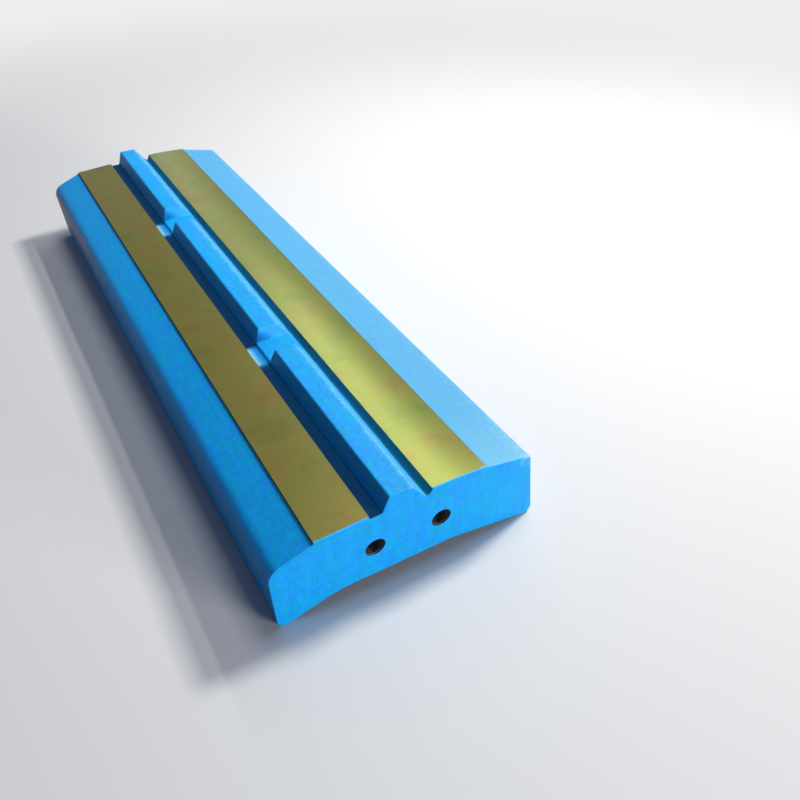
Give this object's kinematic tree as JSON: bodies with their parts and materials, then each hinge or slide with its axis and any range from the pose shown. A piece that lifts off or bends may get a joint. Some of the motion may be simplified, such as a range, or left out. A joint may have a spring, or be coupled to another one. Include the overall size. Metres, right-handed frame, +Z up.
{
  "type": "impact crusher blow bar",
  "caption": "Heavy cast wear bar with an arched section, a notched locking rib between machined pads, and lifting holes in its ends.",
  "frame": {"origin": "on the floor under the middle of the bar, halfway along its length", "axes": "+Z up, the side with the rib; +Y along the bar's length; +X across the bar, towards the rib's sloping flank"},
  "size_m": [0.3453, 1, 0.14],
  "materials": {
    "enamelled_casting": "sky-blue enamel sprayed over a sand-cast surface; the two pads beside the rib are machined and lacquered, olive to yellow gold"
  },
  "bodies": {
    "root": {"blow_bar": "enamelled_casting"}
  },
  "joints": []
}
